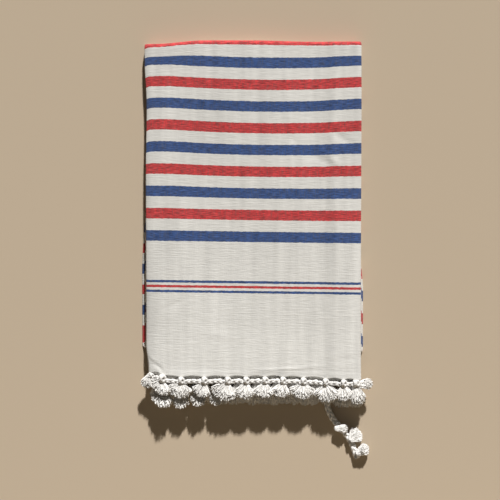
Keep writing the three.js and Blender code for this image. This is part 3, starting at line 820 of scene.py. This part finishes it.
# The first tassels of the lower hem's uppermost row are propped up and show below the top row
PROPPED = {
    0: {"width": 0.038, "reach": 0.0390, "lean": -2, "rise": 0.0085},
    1: {"width": 0.026, "reach": 0.0375, "lean": -1, "rise": 0.0065},
    2: {"width": 0.024, "reach": 0.0355, "lean": -20, "rise": 0.0065},
    3: {"width": 0.020, "reach": 0.0360, "lean": -30, "rise": 0.0055},
}


def in_stack(hem, x, below, level):
    """Settled places of points beside a hem: below is the distance beyond its edge, and level
    the height over the layer's middle, counted outwards from the towel's inner face."""
    upper = hem == "upper"
    y = (UPPER_HEM_Y if upper else LOWER_HEM_Y) - below
    z = TOP_LAYER_Z + level if upper else SECOND_LAYER_Z - level
    return settled(*np.broadcast_arrays(x, y, z))


def heading(hem):
    """Strands of the plaited heading along the whole width of the hem."""
    place, level, out_place, out_level, _ = section_across(0.002, 0.002)
    shown = (level > PLY_PITCH / 2) & (hem == "upper")
    out = 0.0022 * np.abs(out_place) + 0.0008 * shown
    below = HEADING_BELOW - HEADING_ARCH * arch(hem, place, level)
    middle = in_stack(hem, place + out_place * out, below, level + out_level * out)
    above = in_stack(hem, place + out_place * (out + 0.001), below, level + out_level * (out + 0.001))
    run = np.concatenate([[0.0], np.cumsum(np.linalg.norm(np.diff(middle, axis=0), axis=1))])
    at = np.arange(0, run[-1], HEADING_STEP)
    soft = np.exp(-(np.arange(-4, 5) / 2.2) ** 2)
    soft /= soft.sum()

    def evened(values):
        spaced = np.stack([np.interp(at, run, column) for column in values.T], axis=1)
        held = np.concatenate([np.repeat(spaced[:1], 4, 0), spaced, np.repeat(spaced[-1:], 4, 0)])
        return np.stack([np.convolve(column, soft, "valid") for column in held.T], axis=1)

    full = np.interp(at, run, 0.58 + 0.42 * shown)
    up = unit(evened(above - middle))
    return plait(evened(middle), up, HEADING_SWING * (0.8 + 0.2 * full), HEADING_RISE * full,
                 HEADING_TURN, HEADING_STRAND * full, (HEADING_PAINTED_SHADE,) * 3)


def hung_tassel(random, hem, panel, x, width, reach, lean, count, thick, rise, start=BRUSH_BELOW):
    """Strands of one brush in their settled places. Rise is how far it is propped up. Its own
    weight keeps it from standing higher than the pile can hold."""
    turn = math.radians(lean)
    strands = []
    for points, yarn, shade in brush(random, count, reach - start, width, thick):
        along, across, out = points.T
        place = x + along * math.sin(turn) + across * math.cos(turn)
        below = start + along * math.cos(turn) - across * math.sin(turn)
        raised = out + rise * ramp(0.0, reach, along)
        lying = in_stack(hem, place, below, PANEL_LEVEL[panel] + (raised if hem == "upper" else -raised))
        over = np.maximum(lying[:, 2] - BRUSH_LEVEL, 0)
        lying[:, 2] = np.maximum(lying[:, 2] - over + 0.005 * np.tanh(over / 0.005), FLOOR_CLEARANCE)
        strands.append(strand(lying, yarn, shade=shade))
    return strands


def hem_knot(hem, panel, x, lean, big, rise):
    """Closed strand of the knot that ties a tassel to the hem."""
    turn = math.radians(lean)
    middle = in_stack(hem, np.array(x), KNOT_BELOW, PANEL_LEVEL[panel] + rise)
    ahead = np.array([math.sin(turn) * 0.4, -1.0, 0.0])
    side = np.array([1.0, math.sin(turn) * 0.4, 0.0])
    above = np.array([0.0, 0.0, 1.0])
    return wound_knot(middle, unit(ahead), unit(side), above, 0.0036 * big, 0.0046 * big,
                      0.0026 * big, KNOT_YARN * big, HEADING_PAINTED_SHADE)


for number, hem in enumerate(("upper", "lower")):
    random = np.random.default_rng(7 + number)
    bound = heading(hem)
    hidden = []
    shown = []
    for row in HIDDEN_ROWS:
        if row["hem"] != hem:
            continue
        for place, x in enumerate(row_places(row)):
            lean = row["lean"] + random.uniform(-8, 8)
            width = HIDDEN_WIDTH * random.uniform(0.85, 1.1)
            reach = row["reach"] * random.uniform(0.94, 1.05)
            bound.append(hem_knot(hem, row["panel"], x, lean, HIDDEN_KNOT_SIZE, 0.0))
            propped = PROPPED.get(place) if (hem, row["panel"]) == ("lower", "right") else None
            if propped:
                shown += hung_tassel(random, hem, row["panel"], x, propped["width"], propped["reach"],
                                     propped["lean"], PROPPED_YARNS, PROPPED_HEIGHT, propped["rise"])
            else:
                hidden += hung_tassel(random, hem, row["panel"], x, width, reach, lean,
                                      HIDDEN_YARNS, HIDDEN_HEIGHT, 0.0)
    if hem == "upper":
        for row in TOP_ROW:
            count = round(row["width"] / TOP_YARN_PITCH)
            bound.append(hem_knot(hem, "middle", row["knot"], row["lean"] * 0.5, row.get("big", 1.0),
                                  TOP_KNOT_RISE))
            shown += hung_tassel(random, hem, "middle", row["knot"], row["width"] * TOP_SPREAD,
                                 row["reach"], row["lean"], count, TOP_HEIGHT, TOP_RISE,
                                 row.get("start", BRUSH_BELOW))
    for label, strands, sides, groove in (
        ("heading", bound, 6, 0.08), ("hidden_tassels", hidden, 3, 0.0), ("shown_tassels", shown, 3, 0.0)):
        piece = spun(f"{hem}_trim_{label}", strands, sides, groove)
        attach(piece, "root")
        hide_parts(hem + "_trim")


# Floor and light
# A plain pale floor under a soft studio key light that stands low beyond the long fold, a little
# to the right, with a wide weak one overhead and a warm reflector on the viewer's side.
FLOOR_COLOUR = "#C6B59E"
floor_mesh = bpy.data.meshes.new("floor")
floor_mesh.from_pydata([(-2, -2, 0), (2, -2, 0), (2, 2, 0), (-2, 2, 0)], [], [(0, 1, 2, 3)])
floor_finish = bpy.data.materials.new("plain matt floor")
floor_finish.use_nodes = True
floor_finish.node_tree.nodes["Principled BSDF"].inputs["Base Color"].default_value = linear(FLOOR_COLOUR)
floor_finish.node_tree.nodes["Principled BSDF"].inputs["Roughness"].default_value = 0.9
floor_mesh.materials.append(floor_finish)
floor = bpy.data.objects.new("floor", floor_mesh)
scene.collection.objects.link(floor)
LIGHTS = [
    {"name": "key", "kind": "SUN", "place": (0.35, 2.00, 1.0), "power": 5.5, "colour": "#FFFDFA",
     "soft": {"angle": math.radians(3.0)}},
    {"name": "overhead", "kind": "AREA", "place": (-0.3, -0.4, 2.2), "power": 1.6, "colour": "#F6EDDF",
     "soft": {"shape": "DISK", "size": 2.4}},
    {"name": "reflector", "kind": "AREA", "place": (0.3, -1.6, 0.3), "power": 7.0, "colour": "#EBD3AE",
     "soft": {"shape": "DISK", "size": 1.2}},
]
for row in LIGHTS:
    light_data = bpy.data.lights.new(row["name"], row["kind"])
    for label, value in row["soft"].items():
        setattr(light_data, label, value)
    light_data.energy = row["power"]
    light_data.color = linear(row["colour"])[:3]
    light = bpy.data.objects.new(row["name"], light_data)
    light.location = row["place"]
    away = light.location.copy()
    light.rotation_mode = "QUATERNION"
    light.rotation_quaternion = away.to_track_quat("Z", "Y")
    scene.collection.objects.link(light)
world = bpy.data.worlds.new("studio")
world.use_nodes = True
world.node_tree.nodes["Background"].inputs["Color"].default_value = linear("#F2E6D2")
world.node_tree.nodes["Background"].inputs["Strength"].default_value = 0.055
scene.world = world
